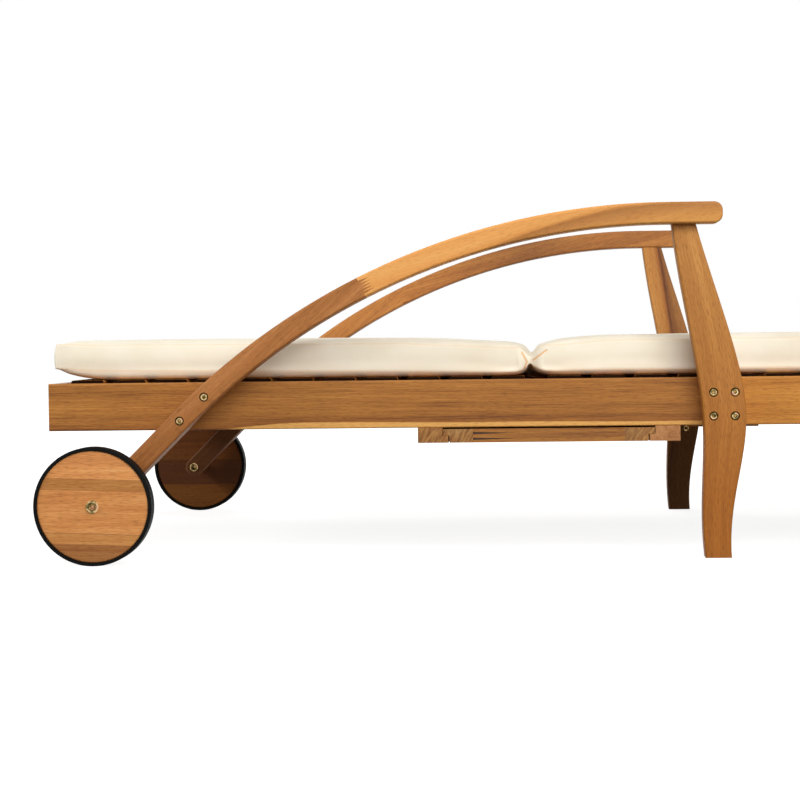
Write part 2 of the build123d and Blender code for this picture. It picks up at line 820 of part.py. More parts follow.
def screw_eye():
    """A small wire eye under the side rail, between the tray guide and the leg."""
    eye_x = splice_x - packing_length / 2 + eye_wire
    radius = (eye_diameter - eye_wire) / 2
    centre_z = rail_underside - eye_shank - eye_diameter / 2
    middle_y = -(rail_face + rail_inner) / 2
    ring = Pos(eye_x, middle_y, centre_z) * Rot(90, 0, 0) * Torus(radius, eye_wire / 2)
    shank_low = centre_z + radius
    shank = Pos(eye_x, middle_y, (shank_low + rail_underside) / 2)
    return ring + shank * Cylinder(eye_wire / 2, rail_underside - shank_low)


leg_bolt_points_all = mid_leg_bolts + foot_leg_bolts
leg_face = rail_face + leg_thickness
leg_bolt_tip = packing_inner - nut_height - bolt_end
leg_bolts = [frame_bolt(x, z, leg_face, leg_bolt_tip) for x, z in leg_bolt_points_all]
arm_bolt_tip = rail_inner + bolt_sleeve_length / 2
arm_bolts = [frame_bolt(x, z, arm_span / 2, arm_bolt_tip) for x, z in arm_bolt_points]
leg_nuts = [frame_nut(x, z, packing_inner) for x, z in leg_bolt_points_all]
arm_nuts = [
    sleeve_nut(x, z, rail_inner, bolt_sleeve_diameter, bolt_diameter, bolt_sleeve_length)
    for x, z in arm_bolt_points
]
save("leg_bolts", *with_mirrors(leg_bolts))
save("leg_nuts", *with_mirrors(leg_nuts))
save("arm_bolts", *with_mirrors(arm_bolts))
save("arm_sleeve_nuts", *with_mirrors(arm_nuts))
save("wheel_fixings", *with_mirrors(wheel_fixings()))
save("hinge_fixings", *hinge_bolts(), *hinge_washers())
save("screw_eyes", *with_mirrors([screw_eye()]))


# Cushions: a back and a seat section on each side, meeting over the hinge

def cushion(x_low, x_high):
    """A filled section with a flat underside, crowned top, bowed borders and drawn-in sides."""
    y_low = -rail_inner + backrest_side_gap
    y_high = -cushion_gap
    middle = (y_low + y_high) / 2
    slices = []
    for share, full, waist in zip(cushion_shares, fullness_shares, waist_shares):
        inset = cushion_bulge + cushion_draw_in * waist + cushion_end_drop * (1 - full) / 2
        low = slat_top + seat_gap + cushion_end_lift * (1 - full)
        edge = cushion_edge - (cushion_end_lift + cushion_end_drop) * (1 - full)
        crown = edge + (cushion_thickness - cushion_edge) * full
        left = y_low + inset
        right = y_high - inset
        with BuildSketch(Plane.YZ.offset(x_low + (x_high - x_low) * share)) as upright:
            with BuildLine():
                Line((left, low), (right, low))
                ThreePointArc((right, low), (right + cushion_bulge, low + edge / 2), (right, low + edge))
                ThreePointArc((right, low + edge), (middle, low + crown), (left, low + edge))
                ThreePointArc((left, low + edge), (left - cushion_bulge, low + edge / 2), (left, low))
            make_face()
        slices.append(upright.sketch)
    return loft(slices, ruled=True)


fold_x = hinge_x + fold_from_hinge
save_sides("back_cushion", cushion(rail_head_x + cushion_head_inset, fold_x - cushion_gap))
save_sides("seat_cushion", cushion(fold_x + cushion_gap, foot_x - cushion_foot_inset))
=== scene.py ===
import math

import bmesh
import bpy
import numpy as np
from mathutils import Matrix, Vector


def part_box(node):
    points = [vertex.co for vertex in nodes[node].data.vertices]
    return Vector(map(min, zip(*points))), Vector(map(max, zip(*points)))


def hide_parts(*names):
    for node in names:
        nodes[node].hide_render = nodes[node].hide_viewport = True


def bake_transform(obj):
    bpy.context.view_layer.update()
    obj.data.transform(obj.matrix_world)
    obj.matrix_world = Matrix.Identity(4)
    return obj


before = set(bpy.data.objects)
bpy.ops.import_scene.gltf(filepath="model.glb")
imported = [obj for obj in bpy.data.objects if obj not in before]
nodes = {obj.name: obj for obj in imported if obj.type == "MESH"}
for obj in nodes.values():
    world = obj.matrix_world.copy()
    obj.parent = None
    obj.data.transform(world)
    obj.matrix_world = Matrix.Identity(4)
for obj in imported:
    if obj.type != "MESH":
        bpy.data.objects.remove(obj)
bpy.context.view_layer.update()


# Side rails
# Each side of the lounger is one deep rail of oiled acacia in two lengths, butted behind the mid
# leg. They are sawn from different boards: the head length is brown heartwood with a strip of
# pale sapwood left along its lower edge, the foot length is more orange.

def linear(paint):
    """A colour in sRGB hex, as on a paint chart, turned to Blender's linear numbers."""
    parts = [int(paint[i:i + 2], 16) / 255 for i in (1, 3, 5)]
    return [p / 12.92 if p <= 0.04045 else ((p + 0.055) / 1.055) ** 2.4 for p in parts] + [1.0]


def add(tree, kind, sockets=None, stops=None, **settings):
    """One node, with its settings, its colour stops, and what its sockets hold or link to."""
    made = tree.nodes.new("ShaderNode" + kind)
    for name, value in settings.items():
        setattr(made, name, value)
    if stops:
        marks = made.color_ramp.elements
        for _ in stops[2:]:
            marks.new(1.0)
        for element, (place, tint) in zip(marks, stops):
            element.position = place
            element.color = linear(tint) if isinstance(tint, str) else (tint, tint, tint, 1.0)
    for socket, value in (sockets or {}).items():
        if isinstance(value, bpy.types.NodeSocket):
            tree.links.new(value, made.inputs[socket])
        else:
            made.inputs[socket].default_value = value
    return made


def oiled_acacia(name, tones, turn=0.0, across=False, streak=(900, 15), pores=0.24,
                 shine=0.25, lay=None, wash=None, apart=False):
    """Planed and oiled acacia: a satin brown with long streaks, fine lines and short pores.

    turn tilts the grain in the side view, across runs it from side to side, streak is the
    length and width of a streak in millimetres, shine is how much the oil film mirrors, lay
    bends the board's own space, wash lays heartwood and sapwood over it and on some pieces
    painted shade, and apart gives each stick of a group its own board."""
    material = bpy.data.materials.new(name)
    material.use_nodes = True
    tree = material.node_tree
    place = add(tree, "TexCoord").outputs["Object"]
    board = lay(tree, place) if lay else place
    if apart:
        own = add(tree, "NewGeometry").outputs["Random Per Island"]
        board = add(tree, "VectorMath", {0: own, 1: (2.9, 3.7, 4.3), 2: board},
                    operation="MULTIPLY_ADD").outputs[0]
    angles = (0.0, -math.radians(turn), math.radians(90) if across else 0.0)
    length, width = (side / 1000 for side in streak)
    # Length, width, detail and wander of the streaks, of growth lines a ninth as wide, of slow
    # clouds of tone across the whole board, and of pores. Real pores are 0.2 mm wide; they are
    # drawn 1.3 mm wide so that a whole-view picture has them
    layers = []
    for long, wide, detail, wander in (
        (length, width, 2.0, 0.4), (length / 12, width / 9, 2.0, 0.1),
        (0.6, 0.05, 1.0, 0.3), (0.012, 0.0013, 0.0, 0.0),
    ):
        spot = add(tree, "Mapping", {"Vector": board, "Rotation": angles,
                                     "Scale": (long, wide, wide)}, vector_type="TEXTURE").outputs[0]
        layers.append(add(tree, "TexNoise", {"Vector": spot, "Scale": 1.0, "Detail": detail,
                                             "Distortion": wander}).outputs[0])
    streaks, lines, clouds, pits = layers
    # The tone is the sum of three layers, each by its weight, and nearly all of it lies in reach
    tone = 0.0
    for layer, weight in ((clouds, 0.15), (lines, 0.4), (streaks, 0.45)):
        tone = add(tree, "Math", {0: layer, 1: weight, 2: tone}, operation="MULTIPLY_ADD").outputs[0]
    darkest, reach = 0.34, 0.32
    colour = add(tree, "ValToRGB", {0: tone}, stops=[
        (darkest + reach * i / (len(tones) - 1), shade) for i, shade in enumerate(tones)]).outputs[0]
    if wash:
        colour = wash(tree, place, colour, tone)
    if apart:
        stick = add(tree, "ValToRGB", {0: own}, stops=[
            (0.0, "#cdb49c"), (0.3, "#ffffff"), (0.6, "#e6cdb4"), (1.0, "#fff4e4")]).outputs[0]
        colour = add(tree, "Mix", {0: 1.0, 6: colour, 7: stick}, data_type="RGBA",
                     blend_type="MULTIPLY").outputs[2]
    pit = add(tree, "ValToRGB", {0: pits}, stops=[(0.56, 0.0), (0.68, pores)]).outputs[0]
    colour = add(tree, "Mix", {0: pit, 6: colour, 7: linear("#6e4220")}, data_type="RGBA",
                 blend_type="MULTIPLY").outputs[2]
    relief = add(tree, "Math", {0: lines, 1: pit}, operation="SUBTRACT").outputs[0]
    surface = tree.nodes["Principled BSDF"]
    tree.links.new(colour, surface.inputs["Base Color"])
    tree.links.new(add(tree, "Math", {0: lines, 1: 0.25, 2: 0.42},
                       operation="MULTIPLY_ADD").outputs[0], surface.inputs["Roughness"])
    tree.links.new(add(tree, "Bump", {"Strength": 0.3, "Distance": 0.0005,
                                      "Height": relief}).outputs[0], surface.inputs["Normal"])
    surface.inputs["IOR"].default_value = 1.5
    surface.inputs["Specular IOR Level"].default_value = shine
    return material


def dress(finish, *names):
    """Give pieces carried over from the solid model their finish."""
    for name in names:
        for slot in nodes[name].material_slots:
            slot.material = finish


def sapwood_edge(tree, place, colour, tone):
    """The pale strip along the lower edge: it starts past the arm, is 11 mm wide at most, and
    has a slightly darker line above it."""
    x, _, z = add(tree, "SeparateXYZ", {0: place}).outputs
    swell = add(tree, "MapRange", {0: x, 1: -0.80, 2: -0.56, 3: 0.210, 4: 0.2255},
                interpolation_type="SMOOTHSTEP").outputs[0]
    fall = add(tree, "MapRange", {0: x, 1: -0.56, 2: 0.10, 3: 0.0, 4: 0.0037}).outputs[0]
    slow = add(tree, "TexNoise", {"Vector": place, "Scale": 5.0, "Detail": 0.0}).outputs[0]
    edge = add(tree, "Math", {0: slow, 1: 0.003, 2: swell}, operation="MULTIPLY_ADD").outputs[0]
    edge = add(tree, "Math", {0: edge, 1: fall}, operation="SUBTRACT").outputs[0]
    depth = add(tree, "Math", {0: edge, 1: z}, operation="SUBTRACT").outputs[0]
    above = add(tree, "MapRange", {0: depth, 1: -0.012, 2: -0.0005, 3: 0.0, 4: 0.45}).outputs[0]
    colour = add(tree, "Mix", {0: above, 6: colour, 7: linear("#a87a50")}, data_type="RGBA",
                 blend_type="MULTIPLY").outputs[2]
    strip = add(tree, "MapRange", {0: depth, 1: -0.0004, 2: 0.0012, 3: 0.0, 4: 0.9}).outputs[0]
    return add(tree, "Mix", {0: strip, 6: colour, 7: linear("#e0a85c")}, data_type="RGBA").outputs[2]


heart_tones = ["#70421b", "#976028", "#a96f32", "#c0843e"]
orange_tones = ["#955b20", "#b2722b", "#c28235", "#cc9143"]
dress(oiled_acacia("oiled_acacia_heartwood_rail", heart_tones, wash=sapwood_edge),
      "side_rail_head_near", "side_rail_head_far")
dress(oiled_acacia("oiled_acacia_orange_rail", orange_tones),
      "side_rail_foot_near", "side_rail_foot_far")


# Cross rails, bearers and centre rail
# The ladder inside the frame: head and foot rails, two low bearers and one long middle rail,
# all of the same oiled acacia, screwed between the side rails, with the grain along each piece.

frame_tones = ["#7a4a25", "#9c6532", "#b0763b", "#c48b4c"]
dress(oiled_acacia("oiled_acacia_cross_rail", frame_tones, across=True),
      "head_rail", "foot_rail", "rack_bearer", "seat_bearer")
dress(oiled_acacia("oiled_acacia_centre_rail", frame_tones), "centre_rail")


# Packing blocks, ledgers and rest blocks
# Small blocks glued and bolted inside the rails: packing behind each leg, a strip under the slat
# ends, and the blocks that the lowered backrests land on. Yellow sapwood offcuts.

offcut_tones = ["#a8752f", "#c8943f", "#d9a750", "#e2b866"]
dress(oiled_acacia("oiled_acacia_sapwood_offcut", offcut_tones, apart=True),
      "packing_blocks", "seat_ledgers", "backrest_rest_blocks")


# Seat slats
# Flat slats with eased edges, screwed down across the side rails' ledgers. Each comes from its
# own board, so the tone changes from slat to slat.

def facing_side(tree):
    """How squarely a face looks to the side, from 0 to 1."""
    across_frame = add(tree, "SeparateXYZ", {0: add(tree, "NewGeometry").outputs["Normal"]}).outputs[1]
    return add(tree, "Math", {0: across_frame}, operation="ABSOLUTE").outputs[0]


def painted_shade_ends(tree, place, colour, tone):
    """Painted shade: the sawn ends, which sit in the dark gap under the cushion, go almost black."""
    sawn = add(tree, "MapRange", {0: facing_side(tree), 1: 0.15, 2: 0.5}).outputs[0]
    return add(tree, "Mix", {0: sawn, 6: colour, 7: linear("#201006")}, data_type="RGBA").outputs[2]


slat_tones = ["#84522a", "#aa7038", "#bf8545", "#d29d5c"]
# The seat slats' sawn ends get painted shade, almost black
dress(oiled_acacia("oiled_acacia_slat", slat_tones, across=True, shine=0.03, wash=painted_shade_ends,
                   apart=True), "seat_slats")


# Arms
# Each arm is a long curved member, glued up from two sawn pieces with a finger joint: the lower
# piece is plain brown heartwood, the upper one nearly all pale sapwood, with the heartwood
# coming in from below at the leg. The grain runs straight through the curve, as sawn.

def darker_end(shade):
    """The lower arms darken towards the wheel; on the far arm this darkening is painted shade from the
    dark space under the lounger.
    """
    def wash(tree, place, colour, tone):
        along = add(tree, "SeparateXYZ", {0: place}).outputs[0]
        along = add(tree, "MapRange", {0: along, 1: -0.84, 2: -0.70}).outputs[0]
        board = add(tree, "ValToRGB", {0: along}, stops=[(0.0, shade), (1.0, "#ffffff")]).outputs[0]
        return add(tree, "Mix", {0: 1.0, 6: colour, 7: board}, data_type="RGBA",
                   blend_type="MULTIPLY").outputs[2]
    return wash


def heart_from_below(tree, place, colour, tone):
    """Sapwood above a curved line that meets the top edge over the leg, and heartwood below."""
    x, _, z = add(tree, "SeparateXYZ", {0: place}).outputs
    # The line drops away from its upper end by 0.108 of the distance and 0.564 of its square
    upper_end = 0.0151
    back = add(tree, "Math", {0: upper_end, 1: x}, operation="SUBTRACT").outputs[0]
    slope = add(tree, "Math", {0: back, 1: 0.564, 2: 0.108}, operation="MULTIPLY_ADD").outputs[0]
    above = add(tree, "Math", {0: back, 1: slope, 2: z}, operation="MULTIPLY_ADD").outputs[0]
    above = add(tree, "Math", {0: tone, 1: 0.010, 2: above}, operation="MULTIPLY_ADD").outputs[0]
    zone = add(tree, "MapRange", {0: above, 1: 0.5453, 2: 0.6053}).outputs[0]
    board = add(tree, "ValToRGB", {0: zone}, stops=[
        (0.0, "#d39e55"), (0.25, "#cb934d"), (0.45, "#b88246"), (0.62, "#a87339"),
        (0.72, "#d79951"), (1.0, "#e4a75f")]).outputs[0]
    return add(tree, "Mix", {0: 0.75, 6: board, 7: colour}, data_type="RGBA",
               blend_type="MULTIPLY").outputs[2]


def darker_middle(tree, place, colour, tone):
    """The far arm darkens to deep brown over the middle of its length."""
    along = add(tree, "SeparateXYZ", {0: place}).outputs[0]
    along = add(tree, "MapRange", {0: along, 1: -0.60, 2: 0.08}).outputs[0]
    shade = add(tree, "ValToRGB", {0: along}, stops=[
        (0.0, "#ffffff"), (0.19, "#f6f2f0"), (0.37, "#e2dcdc"), (0.59, "#bcb6bc"),
        (0.80, "#e0dcd8"), (1.0, "#e4e0dc")]).outputs[0]
    return add(tree, "Mix", {0: 1.0, 6: colour, 7: shade}, data_type="RGBA",
               blend_type="MULTIPLY").outputs[2]


arm_low_tones = ["#864f27", "#9f6530", "#ae713d", "#bd834d"]
arm_pale_grain = ["#e9cfb2", "#f9ecdc", "#ffffff"]
arm_far_tones = ["#965f31", "#ad7037", "#bc7d3f", "#cd914b"]
dress(oiled_acacia("oiled_acacia_lower_arm", arm_low_tones, turn=42, wash=darker_end("#ddd5c5")),
      "arm_lower_near")
dress(oiled_acacia("oiled_acacia_upper_arm", arm_pale_grain, turn=16, pores=0.16,
                   wash=heart_from_below), "arm_upper_near")
# The far lower arm's darker end is painted shade under the lounger
dress(oiled_acacia("oiled_acacia_far_arm", arm_far_tones, turn=42, wash=darker_end("#a89888")),
      "arm_lower_far")
dress(oiled_acacia("oiled_acacia_far_upper_arm", arm_far_tones, turn=14, wash=darker_middle),
      "arm_upper_far")


# Legs
# Sabre legs sawn to a double curve from thick boards, bolted flat to the rails' outer faces.
# The grain runs down the leg and follows its sweep; the far mid leg shows a pale edge, one
# dark vein and a brown edge.

leg_height = 0.5465


def leg_sweep(tree, place):
    """Bends the board's space with the leg, by how far its middle line leaves the plumb."""
    shifts = [(0.0, 0.0), (0.17, 0.001), (0.41, 0.012), (0.65, -0.008), (1.0, -0.052)]
    # A colour ramp holds only 0 to 1, so shifts from -60 to 20 mm are kept as shares of 80 mm
    lowest, reach = -0.06, 0.08
    height = add(tree, "SeparateXYZ", {0: place}).outputs[2]
    share = add(tree, "Math", {0: height, 1: leg_height}, operation="DIVIDE").outputs[0]
    sweep = add(tree, "ValToRGB", {0: share}, stops=[
        (up, (shift - lowest) / reach) for up, shift in shifts]).outputs[0]
    back = add(tree, "Math", {0: sweep, 1: -reach, 2: -lowest}, operation="MULTIPLY_ADD").outputs[0]
    return add(tree, "VectorMath", {0: place, 1: add(tree, "CombineXYZ", {0: back}).outputs[0]},
               operation="ADD").outputs[0]


def painted_shade_foot(tree, place, colour, tone):
    """Painted shade: the legs are brown near the ground and lighter towards the arm, as the light from
    above falls off downwards.
    """
    height = add(tree, "SeparateXYZ", {0: place}).outputs[2]
    height = add(tree, "MapRange", {0: height, 1: 0.10, 2: 0.50}).outputs[0]
    shade = add(tree, "ValToRGB", {0: height}, stops=[(0.0, "#dfc58e"), (1.0, "#ffffff")]).outputs[0]
    return add(tree, "Mix", {0: 1.0, 6: colour, 7: shade}, data_type="RGBA",
               blend_type="MULTIPLY").outputs[2]


def far_leg_vein(tree, place, colour, tone):
    """From the rear edge: pale sapwood, a dark vein, then brown heartwood."""
    swept = add(tree, "VectorMath", {0: leg_sweep(tree, place), 1: (1.0, 0.0, -0.07)},
                operation="DOT_PRODUCT").outputs["Value"]
    from_rear = add(tree, "Math", {0: tone, 1: 0.012, 2: swept}, operation="MULTIPLY_ADD").outputs[0]
    zone = add(tree, "MapRange", {0: from_rear, 1: 0.0605, 2: 0.1405}).outputs[0]
    board = add(tree, "ValToRGB", {0: zone}, stops=[
        (0.0, "#c08c4c"), (0.30, "#b27e42"), (0.38, "#94602f"), (0.42, "#5a3317"),
        (0.46, "#7f542d"), (0.60, "#946737"), (1.0, "#a2743e")]).outputs[0]
    return add(tree, "Mix", {0: 0.8, 6: board, 7: colour}, data_type="RGBA",
               blend_type="MULTIPLY").outputs[2]


leg_tones = ["#a56d30", "#b07738", "#bb8140", "#c38b47"]
veined_grain = ["#e0c4a6", "#f4e4d0", "#ffffff"]
# The mid legs get painted shade towards the ground
dress(oiled_acacia("oiled_acacia_mid_leg", leg_tones, turn=90, lay=leg_sweep, wash=painted_shade_foot),
      "mid_leg_near")
dress(oiled_acacia("oiled_acacia_veined_leg", veined_grain, turn=90, lay=leg_sweep,
                   wash=far_leg_vein), "mid_leg_far")
# The foot legs get the same painted shade towards the ground
dress(oiled_acacia("oiled_acacia_foot_leg", leg_tones, turn=90, lay=leg_sweep, wash=painted_shade_foot),
      "foot_leg_near", "foot_leg_far")


# Backrests
# Two separate backrests side by side, each a light frame of two stiles and two cross bars under
# its slats, hung on bolts at the hip.

stile_tones = ["#7d4b25", "#9f6733", "#b47a40", "#c99050"]
dress(oiled_acacia("oiled_acacia_stile", stile_tones),
      "backrest_stile_outer_near", "backrest_stile_outer_far",
      "backrest_stile_inner_near", "backrest_stile_inner_far")
dress(oiled_acacia("oiled_acacia_backrest_bar", stile_tones, across=True),
      "backrest_bars_near", "backrest_bars_far")
# The back slats' sawn ends get the same painted shade
dress(oiled_acacia("oiled_acacia_back_slat", slat_tones, across=True, shine=0.03, wash=painted_shade_ends,
                   apart=True),
      "backrest_slats_near", "backrest_slats_far")


# Props and racks
# A pair of prop legs with a round foot bar under each backrest, and the notched racks that the
# bar drops into. The racks are short-grained offcuts, the bar is turned.

prop_tones = ["#8a5529", "#ab7138", "#be8546", "#cf9a58"]
dress(oiled_acacia("oiled_acacia_prop", prop_tones, apart=True),
      "prop_legs_near", "prop_legs_far", "racks_near", "racks_far")
dress(oiled_acacia("oiled_acacia_turned_bar", prop_tones, across=True, streak=(200, 6)),
      "prop_foot_bar_near", "prop_foot_bar_far")


# Trays and guides
# A slatted tray slides out on each side, its runners held by tongues in rabbeted guides. The
# guides and runners lie across the frame, so their end grain faces the side; the front board
# has two dark heart cracks at its head end.

def end_grain(dark, middle, pale):
    """Growth rings cut across: slanted bands 4 mm apart, on the faces that look to the side."""
    def wash(tree, place, colour, tone):
        face = add(tree, "MapRange", {0: facing_side(tree), 1: 0.6, 2: 0.9}).outputs[0]
        spot = add(tree, "Mapping", {"Vector": place, "Rotation": (0.0, math.radians(-58), 0.0),
                                     "Scale": (0.02, 0.02, 0.004)}, vector_type="TEXTURE").outputs[0]
        rings = add(tree, "TexNoise", {"Vector": spot, "Scale": 1.0, "Detail": 1.0}).outputs[0]
        rings = add(tree, "ValToRGB", {0: rings}, stops=[
            (0.3, dark), (0.5, middle), (0.7, pale)]).outputs[0]
        return add(tree, "Mix", {0: face, 6: colour, 7: rings}, data_type="RGBA").outputs[2]
    return wash


def heart_cracks(tree, place, colour, tone):
    """Two dark streaks in the near front board, 10 mm apart, that taper out over 75 mm."""
    half_width = 0.0022
    x, y, z = add(tree, "SeparateXYZ", {0: place}).outputs
    reach = add(tree, "MapRange", {0: x, 1: -0.290, 2: -0.215, 3: 1.0, 4: 0.0}).outputs[0]
    front = add(tree, "MapRange", {0: y, 1: -0.548, 2: -0.540, 3: 1.0, 4: 0.0}).outputs[0]
    reach = add(tree, "Math", {0: reach, 1: front}, operation="MULTIPLY").outputs[0]
    wide = add(tree, "Math", {0: reach, 1: half_width}, operation="MULTIPLY").outputs[0]
    for height in (0.2063, 0.1968):
        off = add(tree, "Math", {0: z, 1: height}, operation="SUBTRACT").outputs[0]
        off = add(tree, "Math", {0: off}, operation="ABSOLUTE").outputs[0]
        crack = add(tree, "Math", {0: off, 1: wide}, operation="LESS_THAN").outputs[0]
        colour = add(tree, "Mix", {0: crack, 6: colour, 7: linear("#3b2110")},
                     data_type="RGBA").outputs[2]
    return colour


board_tones = ["#4a2a12", "#8d592a", "#a46d30", "#b9823e"]
end_grain_tones = ["#7d5430", "#96693d", "#a5764a", "#b5885a"]
pink_tones = ["#885830", "#a46e41", "#b37e4f", "#c08e5c"]
runner_rings = ["#805b34", "#9f7544", "#b9945d"]
guide_rings = ["#744b24", "#916030", "#a97a43"]
dress(oiled_acacia("oiled_acacia_tray_board", board_tones, streak=(300, 4), wash=heart_cracks),
      "tray_boards_near", "tray_boards_far")
dress(oiled_acacia("oiled_acacia_runner", end_grain_tones, across=True,
                   wash=end_grain(*runner_rings), apart=True),
      "tray_runners_near", "tray_runners_far")
dress(oiled_acacia("oiled_acacia_guide", end_grain_tones, across=True,
                   wash=end_grain(*guide_rings)), "tray_guide_head")
dress(oiled_acacia("oiled_acacia_pink_guide", pink_tones, across=True), "tray_guide_foot")
dress(oiled_acacia("oiled_acacia_stop", prop_tones), "tray_stop_near", "tray_stop_far")


# Wheels
# Solid discs glued up from staves of different boards, turned true and oiled, each in a band of
# black rubber. The bolt at the middle passes a washer, the disc and the arm.

wheel_centre = (-0.903, 0.097)
disc_radius = 0.0915


def glued_staves(staves, glue="#b07c4c", tilt=2.0):
    """Staves from the bottom up, as (top edge above the axle in millimetres, colour)."""
    def wash(tree, place, colour, tone):
        lean = math.radians(tilt)
        height = add(tree, "VectorMath", {0: place, 1: (math.sin(lean), 0.0, math.cos(lean))},
                     operation="DOT_PRODUCT").outputs["Value"]
        middle = wheel_centre[0] * math.sin(lean) + wheel_centre[1] * math.cos(lean)
        share = add(tree, "MapRange", {0: height, 1: middle - disc_radius,
                                       2: middle + disc_radius}).outputs[0]
        stops, low = [], 0.0
        for top, shade in staves:
            stops += [(low, shade)]
            low = (top / 1000 + disc_radius) / (2 * disc_radius)
            # A glue line 0.9 mm wide ends each stave but the last
            stops += [(low - 0.003, glue)] if top != staves[-1][0] else []
            low += 0.002
        face = add(tree, "ValToRGB", {0: share}, stops=stops)
        face.color_ramp.interpolation = "CONSTANT"
        return add(tree, "Mix", {0: 0.8, 6: face.outputs[0], 7: colour}, data_type="RGBA",
                   blend_type="MULTIPLY").outputs[2]
    return wash


near_staves = [(-62, "#a16f3e"), (-44.6, "#cc9759"), (25.8, "#da9e60"), (44.4, "#bd894d"),
               (92, "#e6aa6c")]
# The far disc's staves and its glue line keep their own tones but are painted darker than the near
# disc's, as shade on the far side of the lounger
shaded_far_staves = [(-40.6, "#a76e31"), (11, "#75461e"), (50, "#97612c"), (92, "#875424")]
stave_grain = ["#c8a688", "#ecd4bc", "#ffffff"]
dress(oiled_acacia("oiled_acacia_near_disc", stave_grain, streak=(260, 9), pores=0.25,
                   wash=glued_staves(near_staves)), "wheel_disc_near")
dress(oiled_acacia("oiled_acacia_far_disc_painted_shade", stave_grain, streak=(260, 9), pores=0.25,
                   wash=glued_staves(shaded_far_staves, glue="#6a4020", tilt=0.0)), "wheel_disc_far")

# Moulded rubber: nearly black, a little dusty, with hardly a highlight
rubber = bpy.data.materials.new("moulded_black_rubber")
rubber.use_nodes = True
tree = rubber.node_tree
place = add(tree, "TexCoord").outputs["Object"]
dust = add(tree, "TexNoise", {"Vector": place, "Scale": 90.0, "Detail": 3.0}).outputs[0]
# Tread lines run round the band, 7 mm apart, as the mould leaves them
tread_step = 0.007
width_y = add(tree, "SeparateXYZ", {0: place}).outputs[1]
tread = add(tree, "Math", {0: width_y, 1: 2 * math.pi / tread_step}, operation="MULTIPLY").outputs[0]
tread = add(tree, "Math", {0: tread}, operation="SINE").outputs[0]
surface = tree.nodes["Principled BSDF"]
tree.links.new(add(tree, "ValToRGB", {0: dust}, stops=[(0.3, "#050505"), (0.7, "#0c0c0b")]).outputs[0],
               surface.inputs["Base Color"])
tree.links.new(add(tree, "Math", {0: dust, 1: 0.2, 2: 0.5}, operation="MULTIPLY_ADD").outputs[0],
               surface.inputs["Roughness"])
tree.links.new(add(tree, "Bump", {"Strength": 0.25, "Distance": 0.0006, "Height": tread}).outputs[0],
               surface.inputs["Normal"])
surface.inputs["IOR"].default_value = 1.52
surface.inputs["Specular IOR Level"].default_value = 0.06
dress(rubber, "wheel_tyre_near", "wheel_tyre_far")


# Fasteners
# Bolts, nuts, sleeves, pins, washers and screw eyes of steel, zinc plated and passivated, which
# gives the yellow sheen that drifts to pink and green.

def plated_zinc(name, heads=()):
    """Yellow zinc plating. Heads, as (distance along, height, radius) in metres, get painted shade
    round the socket and at the rim, with a painted lighter ring between them."""
    material = bpy.data.materials.new(name)
    material.use_nodes = True
    tree = material.node_tree
    place = add(tree, "TexCoord").outputs["Object"]
    drift = add(tree, "TexNoise", {"Vector": place, "Scale": 160.0, "Detail": 2.0}).outputs[0]
    sheen = add(tree, "ValToRGB", {0: drift}, stops=[
        (0.32, "#5c5232"), (0.42, "#7a6a44"), (0.5, "#a08a5a"), (0.57, "#d0b684"),
        (0.66, "#b47c70")]).outputs[0]
    shade = linear("#e8e0d0")
    if heads:
        flat = add(tree, "VectorMath", {0: place, 1: (1.0, 0.0, 1.0)}, operation="MULTIPLY").outputs[0]
        nearest = 1.0
        for x, z, radius in heads:
            off = add(tree, "VectorMath", {0: flat, 1: (x, 0.0, z)},
                      operation="DISTANCE").outputs["Value"]
            share = add(tree, "Math", {0: off, 1: radius}, operation="DIVIDE").outputs[0]
            nearest = add(tree, "Math", {0: nearest, 1: share}, operation="MINIMUM").outputs[0]
        # Painted shade round the socket and at the rim, and a painted lighter ring between them
        shade = add(tree, "ValToRGB", {0: nearest}, stops=[
            (0.0, "#e8e0d0"), (0.30, "#d0c4ac"), (0.42, "#3e3626"), (0.50, "#ffffff"),
            (0.77, "#ffffff"), (0.88, "#6a5e48"), (1.0, "#342c1c")]).outputs[0]
    surface = tree.nodes["Principled BSDF"]
    tree.links.new(add(tree, "Mix", {0: 1.0, 6: sheen, 7: shade}, data_type="RGBA",
                       blend_type="MULTIPLY").outputs[2], surface.inputs["Base Color"])
    tree.links.new(add(tree, "Math", {0: drift, 1: 0.3, 2: 0.12}, operation="MULTIPLY_ADD").outputs[0],
                   surface.inputs["Roughness"])
    surface.inputs["Metallic"].default_value = 1.0
    return material


# Each leg has four bolts, 35 mm apart along the rail, and each arm one low and one high
head_radius, bolt_step = 0.00635, 0.035
(leg_low, leg_high), (arm_low, arm_high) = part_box("leg_bolts"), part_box("arm_bolts")
mid_x, foot_x = leg_low.x + head_radius, leg_high.x - head_radius
bolt_heads = [(x, z, head_radius) for x in (mid_x, mid_x + bolt_step, foot_x - bolt_step, foot_x)
              for z in (leg_low.z + head_radius, leg_high.z - head_radius)]
bolt_heads += [(arm_low.x + head_radius, arm_low.z + head_radius, head_radius),
               (arm_high.x - head_radius, arm_high.z - head_radius, head_radius)]
dress(plated_zinc("yellow_zinc_bolts", bolt_heads), "leg_bolts", "arm_bolts")
# The wheel washers' rim lies at three quarters of this radius, so it falls in the painted lighter ring
washer_reach = 0.014
dress(plated_zinc("yellow_zinc_wheel_bolts", [(*wheel_centre, washer_reach)]), "wheel_fixings")
dress(plated_zinc("yellow_passivated_zinc_steel"), "leg_nuts", "arm_sleeve_nuts", "hinge_fixings",
      "prop_pins_near", "prop_pins_far", "screw_eyes")


